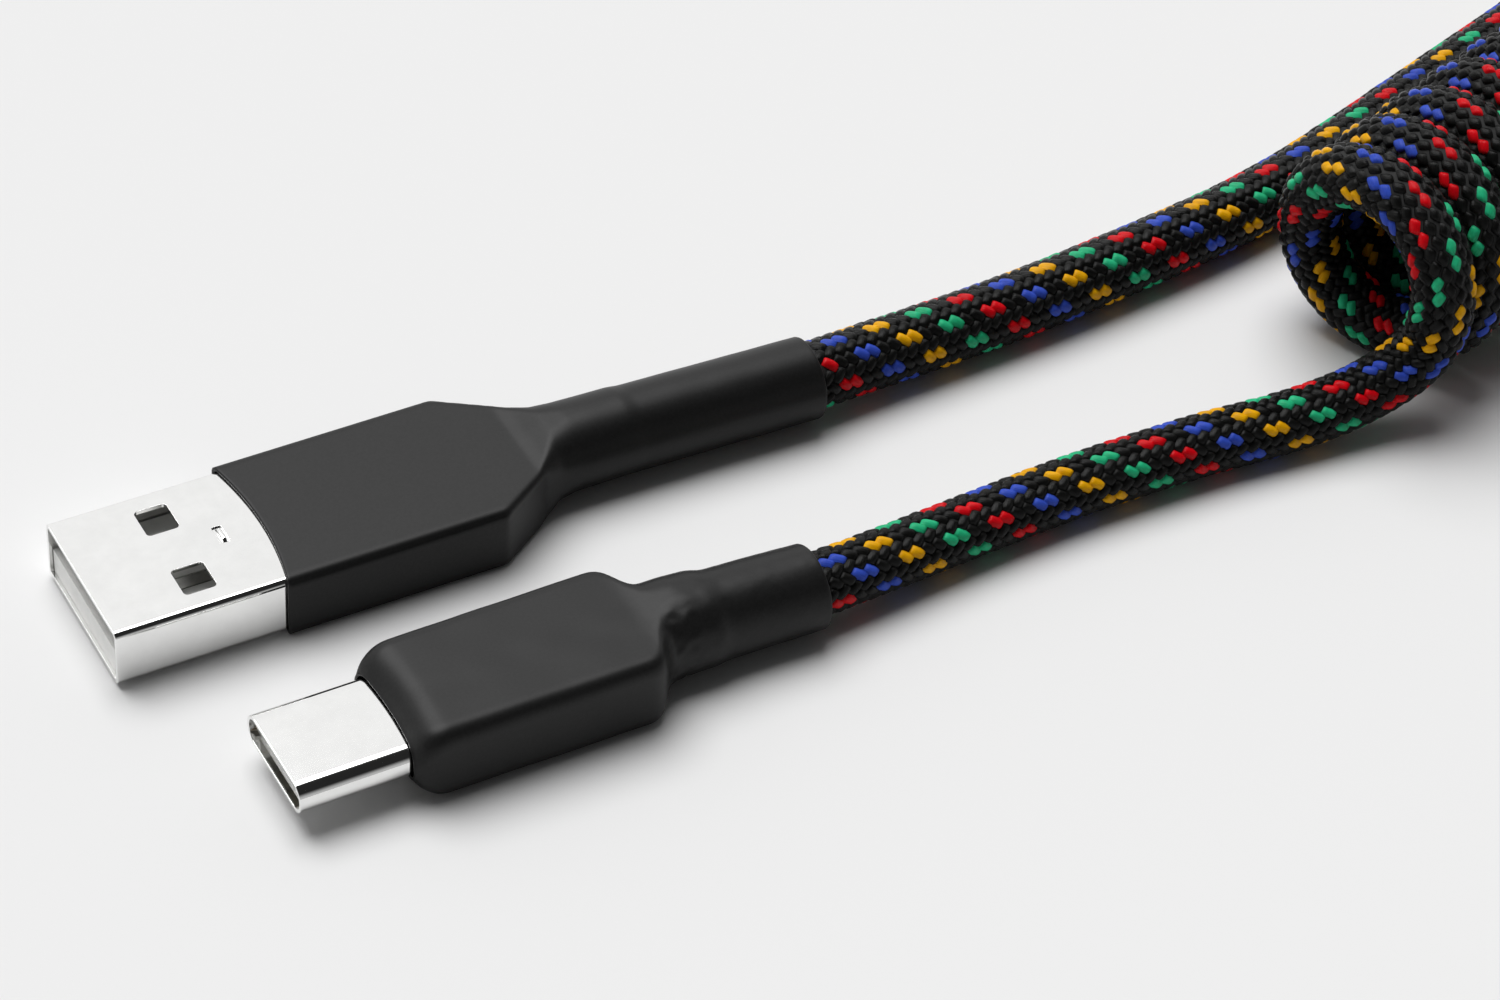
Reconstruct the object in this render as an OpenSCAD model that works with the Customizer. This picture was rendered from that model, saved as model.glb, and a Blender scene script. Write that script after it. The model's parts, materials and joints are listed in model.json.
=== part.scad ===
// Coiled charging cable with a USB-A plug and a USB-C plug, each closed by a
// heat-shrink sleeve, lying on a flat surface.
// Millimetres. +X runs from the plug mouths towards the cable, +Z is up, and
// Z = 0 is the surface that the cable lies on.

/* [USB-A plug] */
// Distance from the origin to the axis of the plug
a_axis_y = 8.9; // [8.5:0.1:12]
// Width of the steel shell
a_shell_w = 12; // [11.9:0.05:12.1]
// Height of the steel shell
a_shell_h = 4.5; // [4.4:0.05:4.6]
// Length of the steel shell
a_shell_len = 18.8; // [18:0.1:20]
// Length of shell that stands out of the sleeve
a_mouth_len = 12; // [11.5:0.1:12.5]
// Length of the whole plug with its boot
a_len = 54; // [50:1:60]

/* [USB-C plug] */
// Distance from the origin to the axis of the plug
c_axis_y = 10.1; // [9.5:0.1:13]
// Width of the steel shell
c_shell_w = 8.25; // [8.2:0.05:8.3]
// Height of the steel shell
c_shell_h = 2.4; // [2.35:0.05:2.45]
// Length of the steel shell
c_shell_len = 10; // [9.5:0.1:10.5]
// Length of shell that stands out of the sleeve
c_mouth_len = 7.5; // [7:0.1:7.8]
// Width of the sleeved housing
c_body_w = 10.3; // [10:0.1:11]
// Height of the sleeved housing
c_body_h = 5.8; // [5.5:0.1:6.2]
// Length of the whole plug with its boot
c_len = 38.6; // [36:0.2:42]

/* [Cord] */
// Diameter of the braided cord in the coil
cord_d = 4.75; // [4.5:0.05:5]
// Diameter of the lead to the USB-A plug
a_lead_d = 5; // [4.8:0.05:5.1]
// Diameter of the lead to the USB-C plug
c_lead_d = 4.5; // [4.3:0.05:4.6]
// Diameter of the cord's inner jacket
jacket_d = 3.2; // [3:0.1:3.4]
// Outer diameter of the heat-shrink boot
boot_d = 6; // [5.9:0.05:6.2]
// Sideways set of each boot, in degrees
boot_turn = 2; // [0:0.5:3]

/* [Coil] */
// Radius from the coil's axis to the middle of the cord
coil_r = 6.7; // [6.5:0.1:7]
// Number of turns
coil_turns = 22; // [18:1:24]
// Distance from one turn to the next
coil_pitch = 5; // [4.9:0.05:5.1]
// Direction of the coil's axis from +X, in degrees
coil_yaw = 18; // [16:1:20]

/* [Hidden] */
eps = 0.02;                 // shared clearance between neighbouring pieces
wire_d = 0.66;              // insulated wire inside the plugs
wire_pitch = 0.7;           // distance between the wires where they leave the jacket
wall_a = 0.3;               // sleeve over the USB-A shell and housing
wall_c = 0.4;               // sleeve over the USB-C housing
wall_collar = 0.12;         // sheet of the crimp collars
steel = 0.3;                // sheet of the USB-A shell
steel_c = 0.25;             // sheet of the USB-C shell

// USB-A plug: X from its mouth, Y from its axis
a_tip_x = -a_len / 2;
a_mid_z = wall_a + a_shell_h / 2;
a_body_w = a_shell_w + 2 * wall_a + 0.1;
a_body_h = a_shell_h + 2 * wall_a;
a_taper_x = 28;             // the housing's rear corners are cut from here
a_house_end = 32.4;         // rear face of the housing
a_neck_x = 33.6;            // here the sleeve has become round
a_boot_step_x = 40;         // the boot is a little thicker up to here
a_edge_r = 21;              // curve of the sleeve's front edge, seen from above
a_jacket_x = 27.4;          // front end of the cord's jacket
a_window = [2.3, 2.55];     // latch windows of the shell
a_window_x = 6.65;
a_window_y = 3.1;
a_dent_x = 9.9;
a_tongue_h = 1.95;
a_tongue_end = 10.6;        // the tongue meets the carrier block
a_carrier_end = 17.4;       // rear face of the carrier block
a_pin_end = 19.6;           // rear ends of the contacts
a_solder_x = 18.9;
a_pin_pitch = [-3.5, -1, 1, 3.5];

// USB-C plug: X from its mouth, Y from its axis
c_tip_x = a_tip_x + 5.2;
c_mid_z = c_body_h / 2;
c_front_x = 10.2;           // the sleeve has its full width from here
c_house_x = 9.4;            // front face of the housing
c_house_end = 25.2;         // rear face of the housing
c_neck_x = 27.6;            // here the sleeve has become round
c_boot_step_x = 31.4;        // the boot is a little thicker up to here
c_jacket_x = 20.6;          // front end of the cord's jacket
c_room_x = 22.6;            // rear end of the room inside the housing
c_board = [9, 16.9];        // front and rear edges of the board
c_board_h = 0.8;
c_solder_x = 14.8;
c_pad_pitch = 1.3;          // distance between the board's solder pads
c_house_w = c_body_w - 2 * wall_c - 0.1;
c_house_h = c_body_h - 2 * wall_c - 0.1;
c_cavity = [6.9, 1.46];     // mouth between the two rows of contacts
c_pin_pitch = 0.5;
c_pins = 12;
c_root_x = 8;               // springs bend from here
c_spring_tip = 1.6;

// Cord
boot_z = boot_d / 2;
coil_z = coil_r + cord_d / 2;
coil_start = [65, -4.4];    // middle of the first turn
coil_len = coil_turns * coil_pitch;

// Route of the lead from the USB-C boot to the coil
c_route = [
    [16.8, -10.55, 3], [21, -10.2, 2.8], [26, -9.7, 2.5], [32, -9.2, 2.3],
    [38, -8.9, 2.3], [44, -8.9, 2.3], [50, -9.1, 2.3], [55, -9.5, 2.3],
    [59, -9.8, 2.6], [62, -10, 3.2]
];

// Route of the lead from the USB-A boot, past the coil and round its far end
a_route = [
    [27, 8.2, 3], [31, 8.5, 2.8], [36, 8.8, 2.6], [42, 9.1, 2.5],
    [48, 9.5, 2.5], [54, 10.1, 2.5], [60, 10.8, 2.5], [66, 11.7, 2.5],
    [72, 13.1, 2.5], [78, 14.9, 2.5], [90, 18.8, 2.5], [102, 22.7, 2.5],
    [114, 26.6, 2.5], [126, 30.5, 2.5], [138, 34.4, 2.5], [150, 38.3, 2.5],
    [160, 41.5, 2.5], [168, 44.1, 2.5], [176, 46.6, 2.5], [184, 48.2, 2.5],
    [192, 46.8, 2.5], [197, 41, 2.5], [197, 33.5, 2.5], [192, 27, 2.5],
    [185, 23, 2.5], [178, 21.8, 2.5], [173, 23, 2.7]
];

// ---- shared shapes -------------------------------------------------------

// Places children at a plug, with X from its mouth and Z from the surface
module at_a() translate([a_tip_x, a_axis_y, 0]) children();
module at_c() translate([c_tip_x, -c_axis_y, 0]) children();

// Turns children about the upright line where a boot leaves its housing
module boot_set(x) translate([x, 0, 0]) rotate([0, 0, -boot_turn])
    translate([-x, 0, 0]) children();

// Rectangle w by h with round corners
module round_rect(w, h, r) {
    square([w - 2 * r, h], center = true);
    square([w, h - 2 * r], center = true);
    for (x = [-1, 1], y = [-1, 1])
        translate([x * (w / 2 - r), y * (h / 2 - r)]) circle(r, $fn = 32);
}

// Bar of that section along X, from x0 to x1, with its middle at height z
module bar(x0, x1, w, h, r, z) translate([x0, 0, z]) rotate([90, 0, 90])
    linear_extrude(x1 - x0) round_rect(w, h, r);

// Plain block along X, from x0 to x1, y0 to y1 and z0 to z1
module block(x0, x1, y0, y1, z0, z1) translate([x0, y0, z0])
    cube([x1 - x0, y1 - y0, z1 - z0]);

// Round rod along X from x0 to x1
module rod(x0, x1, d, z) translate([x0, 0, z]) rotate([0, 90, 0])
    cylinder(h = x1 - x0, d = d, $fn = 48);

// Direction of a route at point i
function heading(route, i) =
    let (v = route[min(i + 1, len(route) - 1)] - route[max(i - 1, 0)]) v / norm(v);

// Point k of n on the ring round point i of a route
function ring_point(route, i, r, k, n) =
    let (t = heading(route, i),
         side = cross([0, 0, 1], t) / norm(cross([0, 0, 1], t)),
         up = cross(t, side),
         a = 360 * k / n)
    route[i] + r * (cos(a) * side + sin(a) * up);

// Faces of a closed body through rings of n points each
function ring_faces(rings, n) = concat(
    [for (i = [0:rings - 2], k = [0:n - 1])
        let (a = i * n + k, b = i * n + (k + 1) % n) [a + n, b + n, b, a]],
    [[for (k = [0:n - 1]) k], [for (k = [n - 1:-1:0]) (rings - 1) * n + k]]
);

// Tube swept along a route
module tube(route, d, n) polyhedron(
    points = [for (i = [0:len(route) - 1], k = [0:n - 1]) ring_point(route, i, d / 2, k, n)],
    faces = ring_faces(len(route), n)
);

// Point k of n round a section [x, w, h, r, z]: a rectangle w by h with round
// corners r and its middle at height z. Past x = neck it drifts sideways.
function section_point(s, k, n, neck) =
    let (q = floor(4 * k / n),
         a = 90 * (4 * k + 2) / n,
         across = (q == 0 || q == 3 ? 1 : -1) * (s[1] / 2 - s[3]) + s[3] * cos(a),
         up = (q < 2 ? 1 : -1) * (s[2] / 2 - s[3]) + s[3] * sin(a))
    [s[0], across - max(0, s[0] - neck) * tan(boot_turn), s[4] + up];

// Closed body through a row of such sections
module loft(sections, neck, n = 32) polyhedron(
    points = [for (s = sections, k = [0:n - 1]) section_point(s, k, n, neck)],
    faces = ring_faces(len(sections), n)
);

// ---- USB-A plug ----------------------------------------------------------

module usb_a_shell() color("gainsboro") at_a() difference() {
    bar(0, a_shell_len, a_shell_w, a_shell_h, 0.5, a_mid_z);
    bar(-1, a_shell_len + 1, a_shell_w - 2 * steel, a_shell_h - 2 * steel, 0.2, a_mid_z);
    for (y = [-a_window_y, a_window_y])
        translate([a_window_x, y, -1]) linear_extrude(a_shell_h + 3)
            round_rect(a_window[0], a_window[1], 0.3);
    // stamped mark on the upper face
    translate([a_dent_x, 0, a_mid_z + a_shell_h / 2 - 0.12]) linear_extrude(1)
        round_rect(0.7, 1.7, 0.15);
}

module usb_a_insulator() color("gainsboro") at_a() {
    inside_w = a_shell_w - 2 * steel - 2 * eps;
    low = a_mid_z - a_shell_h / 2 + steel + eps;
    high = a_mid_z + a_shell_h / 2 - steel - eps;
    difference() {
        union() {
            block(0.25, a_tongue_end, -inside_w / 2 + 0.1, inside_w / 2 - 0.1, low, low + a_tongue_h);
            bar(a_tongue_end, a_carrier_end, inside_w, high - low, 0.25, a_mid_z);
        }
        for (y = a_pin_pitch)
            block(1, a_carrier_end + 1, y - 0.6, y + 0.6, low + a_tongue_h - 0.2, low + a_tongue_h + 0.02);
    }
}

module usb_a_contacts() color("goldenrod") at_a() {
    z = a_mid_z - a_shell_h / 2 + steel + eps + a_tongue_h;
    for (i = [0:3]) {
        y = a_pin_pitch[i];
        first = abs(y) < 2 ? 2.2 : 1.2;
        block(first, a_pin_end, y - 0.5, y + 0.5, z - 0.18, z);
    }
}

module usb_a_solder_joints() color("silver") at_a() {
    z = a_mid_z - a_shell_h / 2 + steel + eps + a_tongue_h;
    for (y = a_pin_pitch) translate([a_solder_x, y, z])
        intersection() {
            sphere(r = 0.55, $fn = 24);
            block(-1, 1, -1, 1, eps, 1);
        }
}

// Outline of the USB-A housing seen from above
function a_house_plan(side) = [
    [a_shell_len + eps, -side], [a_taper_x, -side],
    [a_house_end, -side + 3.9], [a_house_end, side - 3.9],
    [a_taper_x, side], [a_shell_len + eps, side]
];

// One half of the USB-A housing, between heights z0 and z1
module a_house_half(z0, z1, floor_z0, floor_z1) difference() {
    translate([0, 0, z0]) linear_extrude(z1 - z0) polygon(a_house_plan(a_shell_w / 2));
    block(a_shell_len - 1, a_taper_x, -a_shell_w / 2 + 0.8, a_shell_w / 2 - 0.8, floor_z0, floor_z1);
    block(a_taper_x - 1, a_house_end - 1.2, -2.6, 2.6, floor_z0, floor_z1);
    rod(a_house_end - 2, a_house_end + 1, jacket_d + 2 * eps, a_mid_z);
}

module usb_a_housing_top() color("dimgray") at_a()
    a_house_half(a_mid_z + eps, a_mid_z + a_shell_h / 2, a_mid_z - 1, a_mid_z + a_shell_h / 2 - 0.5);

module usb_a_housing_bottom() color("dimgray") at_a()
    a_house_half(a_mid_z - a_shell_h / 2, a_mid_z, a_mid_z - a_shell_h / 2 + 0.5, a_mid_z + 1);

module usb_a_crimp_collar() color("silver") at_a() difference() {
    rod(a_jacket_x + 0.2, a_jacket_x + 2.4, jacket_d + 2 * wall_collar, a_mid_z);
    rod(a_jacket_x, a_jacket_x + 3, jacket_d + 2 * eps, a_mid_z);
}

// Wire i of the USB-A plug, from its contact to the jacket
module a_wire(i) at_a() {
    y = a_pin_pitch[i];
    z = a_mid_z - a_shell_h / 2 + steel + eps + a_tongue_h + 0.55;
    fan = (i - 1.5) * wire_pitch;
    tube([[a_pin_end, y, z], [a_pin_end + 1, y, z], [22, 0.85 * y + 0.15 * fan, z],
        [24.4, 0.3 * y + 0.7 * fan, a_mid_z], [25.6, fan, a_mid_z], [a_jacket_x, fan, a_mid_z]], wire_d, 8);
}
module usb_a_wire_power() color("crimson") a_wire(0);
module usb_a_wire_data_minus() color("white") a_wire(1);
module usb_a_wire_data_plus() color("seagreen") a_wire(2);
module usb_a_wire_ground() color("black") a_wire(3);

module usb_a_jacket_end() color("darkslategray") at_a() {
    rod(a_jacket_x, a_neck_x + 1.4, jacket_d, a_mid_z);
}

module usb_a_braid_end() color("black") at_a() boot_set(a_neck_x)
    rod(a_neck_x + 2.6, a_len, a_lead_d, boot_z);

module usb_a_sleeve() color("#2b2b2b") at_a() difference() {
    body_z = a_body_h / 2;
    loft([
        [a_mouth_len, a_body_w, a_body_h, 0.6, body_z],
        [a_taper_x, a_body_w, a_body_h, 0.6, body_z],
        [a_house_end, 7.2, a_body_h + 0.3, 1, body_z + 0.15],
        [a_neck_x, boot_d + 0.4, boot_d + 0.1, 2.9, boot_z + 0.05],
        [a_boot_step_x, boot_d + 0.2, boot_d + 0.1, 3, boot_z + 0.05],
        [a_len, boot_d, boot_d, boot_d / 2, boot_z]
    ], a_neck_x);
    // room for the shell, the housing, the jacket and the braid
    bar(a_mouth_len - 1, a_shell_len + 0.1, a_shell_w + 2 * eps, a_shell_h + 2 * eps, 0.5, a_mid_z);
    translate([0, 0, wall_a - eps]) linear_extrude(a_shell_h + 2 * eps)
        offset(delta = eps) polygon(a_house_plan(a_shell_w / 2));
    rod(a_house_end - 1, a_neck_x + 2, jacket_d + 2 * eps, a_mid_z);
    boot_set(a_neck_x) rod(a_neck_x + 1.5, a_len + 1, a_lead_d + 2 * eps, boot_z);
    // the front edge curves back over the upper and lower faces
    translate([a_mouth_len + 0.8 - a_edge_r, 0, -1]) cylinder(h = a_body_h + 2, r = a_edge_r, $fn = 160);
}

// ---- USB-C plug ----------------------------------------------------------

module usb_c_shell() color("gainsboro") at_c() difference() {
    bar(0, c_shell_len, c_shell_w, c_shell_h, 1.12, c_mid_z);
    bar(-1, c_shell_len + 1, c_shell_w - 2 * steel_c, c_shell_h - 2 * steel_c, 0.9, c_mid_z);
}

module usb_c_insulator() color("silver") at_c() difference() {
    bar(0.6, c_shell_len - 0.4, c_shell_w - 2 * steel_c - 2 * eps, c_shell_h - 2 * steel_c - 2 * eps, 0.88, c_mid_z);
    block(0, c_root_x + 0.6, -c_cavity[0] / 2, c_cavity[0] / 2, c_mid_z - c_cavity[1] / 2, c_mid_z + c_cavity[1] / 2);
    // slot for the board's edge
    block(c_board[0] - 0.1, c_shell_len, -3, 3, c_mid_z - c_board_h / 2 - eps, c_mid_z + c_board_h / 2 + eps);
}

// One row of sprung contacts joined by a carrier at the back
module c_contact_row(side) {
    z0 = side > 0 ? c_mid_z + 0.4 : c_mid_z - 0.52;
    row_w = (c_pins - 1) * c_pin_pitch;
    for (i = [0:c_pins - 1]) {
        y = -row_w / 2 + i * c_pin_pitch;
        block(c_spring_tip, c_root_x - 0.1, y - 0.12, y + 0.12, z0, z0 + 0.12);
    }
    block(c_root_x - 0.4, c_root_x + 0.4, -row_w / 2 - 0.12, row_w / 2 + 0.12, z0, z0 + 0.12);
}
module usb_c_contacts_upper() color("goldenrod") at_c() c_contact_row(1);
module usb_c_contacts_lower() color("goldenrod") at_c() c_contact_row(-1);

// Side latch: a strip with a small catch at its front end
module c_latch(side) {
    y = side * 3.2;
    block(c_spring_tip, c_root_x + 0.4, y - 0.09, y + 0.09, c_mid_z - 0.3, c_mid_z + 0.3);
    translate([c_spring_tip + 0.5, y - side * 0.12, c_mid_z])
        cylinder(h = 0.6, r = 0.2, center = true, $fn = 24);
}
module usb_c_latch_left() color("silver") at_c() c_latch(1);
module usb_c_latch_right() color("silver") at_c() c_latch(-1);

// Grounding springs in the mouth, above and below: three pads on each strip
module usb_c_ground_springs() color("silver") at_c()
    for (side = [-1, 1]) {
        z = c_mid_z + side * (c_cavity[1] / 2 - 0.05);
        block(0.7, 1.2, -2.9, 2.9, z - 0.05 + eps * (side < 0 ? 1 : -1), z + 0.05 + eps * (side < 0 ? 1 : -1));
        for (y = [-2.2, 0, 2.2]) translate([0.95, y, z - side * 0.08])
            cube([0.5, 0.7, 0.12], center = true);
    }

module usb_c_board() color("darkgreen") at_c()
    block(c_board[0], c_board[1], -2.9, 2.9, c_mid_z - c_board_h / 2, c_mid_z + c_board_h / 2);

module usb_c_resistor() color("black") at_c()
    block(11.8, 12.8, -0.25, 0.25, c_mid_z + c_board_h / 2 + eps, c_mid_z + c_board_h / 2 + 0.35);

module usb_c_solder_joints() color("silver") at_c()
    for (i = [0:3]) translate([c_solder_x, (i - 1.5) * c_pad_pitch, c_mid_z + c_board_h / 2 + eps])
        intersection() {
            sphere(r = 0.5, $fn = 24);
            block(-1, 1, -1, 1, 0, 1);
        }

// One half of the USB-C housing
module c_house_half(z0, z1) difference() {
    intersection() {
        bar(c_house_x + 0.7, c_house_end - 1 - eps, c_house_w, c_house_h, 1.2, c_mid_z);
        block(0, c_len, -c_house_w, c_house_w, z0, z1);
    }
    block(c_house_x + 1.2, c_room_x, -c_house_w / 2 + 0.8, c_house_w / 2 - 0.8,
        c_mid_z - c_house_h / 2 + 0.7, c_mid_z + c_house_h / 2 - 0.7);
    block(c_house_x, c_house_x + 2, -3.2, 3.2, c_mid_z - 0.5, c_mid_z + 0.5);
    rod(c_room_x - 1, c_house_end + 1, jacket_d + 2 * eps, c_mid_z);
}
module usb_c_housing_top() color("dimgray") at_c() c_house_half(c_mid_z + eps, c_mid_z + c_house_h);
module usb_c_housing_bottom() color("dimgray") at_c() c_house_half(c_mid_z - c_house_h, c_mid_z);

module usb_c_crimp_collar() color("silver") at_c() difference() {
    rod(c_jacket_x + 0.2, c_room_x - 0.1, jacket_d + 2 * wall_collar, c_mid_z);
    rod(c_jacket_x, c_room_x + 1, jacket_d + 2 * eps, c_mid_z);
}

// Wire i of the USB-C plug, from the board to the jacket
module c_wire(i) at_c() {
    y = (i - 1.5) * c_pad_pitch;
    z = c_mid_z + c_board_h / 2 + 0.46;
    fan = (i - 1.5) * wire_pitch;
    tube([[c_solder_x + 0.6, y, z], [c_board[1] + 0.1, y, z], [17.8, 0.9 * y + 0.1 * fan, z],
        [19, 0.3 * y + 0.7 * fan, c_mid_z], [19.6, fan, c_mid_z], [c_jacket_x, fan, c_mid_z]], wire_d, 8);
}
module usb_c_wire_power() color("crimson") c_wire(0);
module usb_c_wire_data_minus() color("white") c_wire(1);
module usb_c_wire_data_plus() color("seagreen") c_wire(2);
module usb_c_wire_ground() color("black") c_wire(3);

module usb_c_jacket_end() color("darkslategray") at_c()
    rod(c_jacket_x, c_neck_x + 1, jacket_d, c_mid_z);

module usb_c_braid_end() color("black") at_c() boot_set(c_neck_x)
    rod(c_neck_x + 2, c_len, c_lead_d, boot_z);

module usb_c_sleeve() color("#2b2b2b") at_c() difference() {
    loft([
        [c_mouth_len, c_shell_w + 0.7, c_shell_h + 0.8, 1.45, c_mid_z],
        [9, 9.5, 4.1, 1.45, c_mid_z],
        [c_front_x, c_body_w, c_body_h, 1.5, c_mid_z],
        [c_house_end - 1, c_body_w, c_body_h, 1.5, c_mid_z],
        [c_house_end + 1.2, 8.2, c_body_h + 0.1, 2.4, c_mid_z + 0.05],
        [c_neck_x, boot_d + 0.9, boot_d + 0.3, 3, boot_z + 0.15],
        [c_boot_step_x, boot_d + 0.3, boot_d + 0.1, 3, boot_z + 0.05],
        [c_len, boot_d, boot_d, boot_d / 2, boot_z]
    ], c_neck_x);
    // room for the shell, the housing, the jacket and the braid
    bar(c_mouth_len - 1, c_house_x + 1, c_shell_w + 2 * eps, c_shell_h + 2 * eps, 1.12, c_mid_z);
    bar(c_house_x + 0.7 - eps, c_house_end - 1, c_house_w + 2 * eps, c_house_h + 2 * eps, 1.2, c_mid_z);
    rod(c_house_end - 2, c_neck_x + 2, jacket_d + 2 * eps, c_mid_z);
    boot_set(c_neck_x) rod(c_neck_x + 1.5, c_len + 1, c_lead_d + 2 * eps, boot_z);
}

// ---- cord ----------------------------------------------------------------

module lead_c() color("black") tube(c_route, c_lead_d, 10);
module lead_a() color("black") tube(a_route, a_lead_d, 10);

// The coil, closed as one thick tube of its outer diameter
module coil() color("#202020") translate([coil_start[0], coil_start[1], coil_z])
    rotate([0, 90, coil_yaw]) translate([0, 0, -cord_d / 2])
        cylinder(h = coil_len + cord_d, r = coil_r + cord_d / 2, $fn = 64);

usb_a_shell();
usb_a_insulator();
usb_a_contacts();
usb_a_solder_joints();
usb_a_housing_top();
usb_a_housing_bottom();
usb_a_crimp_collar();
usb_a_wire_power();
usb_a_wire_data_minus();
usb_a_wire_data_plus();
usb_a_wire_ground();
usb_a_jacket_end();
usb_a_braid_end();
usb_a_sleeve();
usb_c_shell();
usb_c_insulator();
usb_c_contacts_upper();
usb_c_contacts_lower();
usb_c_latch_left();
usb_c_latch_right();
usb_c_ground_springs();
usb_c_board();
usb_c_resistor();
usb_c_solder_joints();
usb_c_housing_top();
usb_c_housing_bottom();
usb_c_crimp_collar();
usb_c_wire_power();
usb_c_wire_data_minus();
usb_c_wire_data_plus();
usb_c_wire_ground();
usb_c_jacket_end();
usb_c_braid_end();
usb_c_sleeve();
lead_c();
coil();
lead_a();
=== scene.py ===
"""A curly braided charging cable with a USB-A and a USB-C plug, on a plain pale floor."""

import json
import math

import bmesh
import bpy
import numpy as np
from mathutils import Euler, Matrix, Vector, noise


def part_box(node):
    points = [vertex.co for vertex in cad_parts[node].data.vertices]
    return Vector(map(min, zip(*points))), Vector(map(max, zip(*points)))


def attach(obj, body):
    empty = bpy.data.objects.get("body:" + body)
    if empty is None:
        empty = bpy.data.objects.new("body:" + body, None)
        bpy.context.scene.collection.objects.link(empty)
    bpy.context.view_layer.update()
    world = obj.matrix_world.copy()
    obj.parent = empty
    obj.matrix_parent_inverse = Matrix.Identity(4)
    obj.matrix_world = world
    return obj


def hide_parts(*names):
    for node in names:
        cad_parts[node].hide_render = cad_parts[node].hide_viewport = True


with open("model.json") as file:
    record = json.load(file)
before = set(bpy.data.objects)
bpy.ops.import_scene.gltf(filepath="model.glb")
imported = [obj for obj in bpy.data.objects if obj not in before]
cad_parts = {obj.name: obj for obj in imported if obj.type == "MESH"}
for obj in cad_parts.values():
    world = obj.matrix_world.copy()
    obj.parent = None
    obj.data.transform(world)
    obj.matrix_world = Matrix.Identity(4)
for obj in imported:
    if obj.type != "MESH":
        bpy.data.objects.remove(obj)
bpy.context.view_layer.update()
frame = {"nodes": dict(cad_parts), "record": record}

MM = 0.001
# the material slot of each CAD piece
SLOTS = {part["node"]: part["material_slot"] for part in frame["record"]["subparts"]}

# ---------------------------------------------------------------- sizes, in millimetres

CORD_D = 4.75          # cord in the coil
LEAD_A_D = 5.0         # lead to the USB-A plug
LEAD_C_D = 4.5         # lead to the USB-C plug
COIL_R = 6.7           # from the coil's axis to the middle of the cord
COIL_PITCH = 5.0
COIL_TURNS = 22
COIL_YAW = 18          # degrees from +X
COIL_START = (65.0, -4.4)
TURN_POINTS = 24       # route points in one turn of the coil
LAST_TURN = 0.25       # share of the last turn that is left out, where the lead takes over
STEP = 0.25            # between two points of the cord's line
COIL_EASE = 20         # length over which the USB-C lead thickens into the coil's cord
LEAD_EASE = 40         # length over which that thickens into the USB-A lead

# route of the lead from the USB-C boot to the coil
C_ROUTE = [
    (16.8, -10.55, 3), (21, -10.2, 2.8), (26, -9.7, 2.5), (32, -9.2, 2.3),
    (38, -8.9, 2.3), (44, -8.9, 2.3), (50, -9.1, 2.3), (55, -9.5, 2.3),
    (59, -9.8, 2.6), (62, -10, 3.2),
]
# the cord turns up from the lead into the first turn
LEAD_IN = [(65, -10.4, 4.8), (66.6, -10.7, 6.8)]
# route of the lead from the USB-A boot, past the coil and round its far end
A_ROUTE = [
    (27, 8.2, 3), (31, 8.5, 2.8), (36, 8.8, 2.6), (42, 9.1, 2.5),
    (48, 9.5, 2.5), (54, 10.1, 2.5), (60, 10.8, 2.5), (66, 11.7, 2.5),
    (72, 13.1, 2.5), (78, 14.9, 2.5), (90, 18.8, 2.5), (102, 22.7, 2.5),
    (114, 26.6, 2.5), (126, 30.5, 2.5), (138, 34.4, 2.5), (150, 38.3, 2.5),
    (160, 41.5, 2.5), (168, 44.1, 2.5), (176, 46.6, 2.5), (184, 48.2, 2.5),
    (192, 46.8, 2.5), (197, 41, 2.5), (197, 33.5, 2.5), (192, 27, 2.5),
    (185, 23, 2.5), (178, 21.8, 2.5), (173, 23, 2.7),
]

# ---------------------------------------------------------------- camera

CAMERA_LENS = 100.75                            # millimetres, on a sensor 36 wide
CAMERA_PLACE = (-0.09415, -0.18057, 0.19484)    # metres
CAMERA_TURN = (47.645, -3.402, -28.781)         # degrees

cam_data = bpy.data.cameras.new("camera")
cam_data.sensor_width = 36
cam_data.lens = CAMERA_LENS
cam_data.clip_start = 0.01
camera = bpy.data.objects.new("camera", cam_data)
camera.location = CAMERA_PLACE
camera.rotation_euler = Euler([math.radians(a) for a in CAMERA_TURN])
bpy.context.collection.objects.link(camera)
bpy.context.scene.camera = camera


# ---------------------------------------------------------------- mesh helpers

def new_mesh(name, verts, quads, uv=None):
    """A smooth mesh object from arrays of points in millimetres and quads."""
    verts = np.asarray(verts, float)
    quads = np.asarray(quads, np.int32)
    mesh = bpy.data.meshes.new(name)
    mesh.vertices.add(len(verts))
    mesh.vertices.foreach_set("co", (verts * MM).astype(np.float32).ravel())
    mesh.loops.add(quads.size)
    mesh.loops.foreach_set("vertex_index", quads.ravel())
    mesh.polygons.add(len(quads))
    mesh.polygons.foreach_set("loop_start", np.arange(0, quads.size, 4, dtype=np.int32))
    mesh.polygons.foreach_set("use_smooth", np.ones(len(quads), bool))
    if uv is not None:
        layer = mesh.uv_layers.new(name="UVMap")
        layer.data.foreach_set("uv", uv[quads.ravel()].astype(np.float32).ravel())
    mesh.update(calc_edges=True)
    mesh.validate()
    obj = bpy.data.objects.new(name, mesh)
    bpy.context.collection.objects.link(obj)
    return obj


def grid_quads(rows, cols, wrap_rows=False, wrap_cols=False):
    """Quads of a grid of points, row by row, closed on itself where asked."""
    r = np.arange(rows if wrap_rows else rows - 1)
    c = np.arange(cols if wrap_cols else cols - 1)
    r0, c0 = np.meshgrid(r, c, indexing="ij")
    r1, c1 = (r0 + 1) % rows, (c0 + 1) % cols
    return np.stack([r0 * cols + c0, r1 * cols + c0, r1 * cols + c1, r0 * cols + c1], -1).reshape(-1, 4)


# ---------------------------------------------------------------- the cord's route

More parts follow.
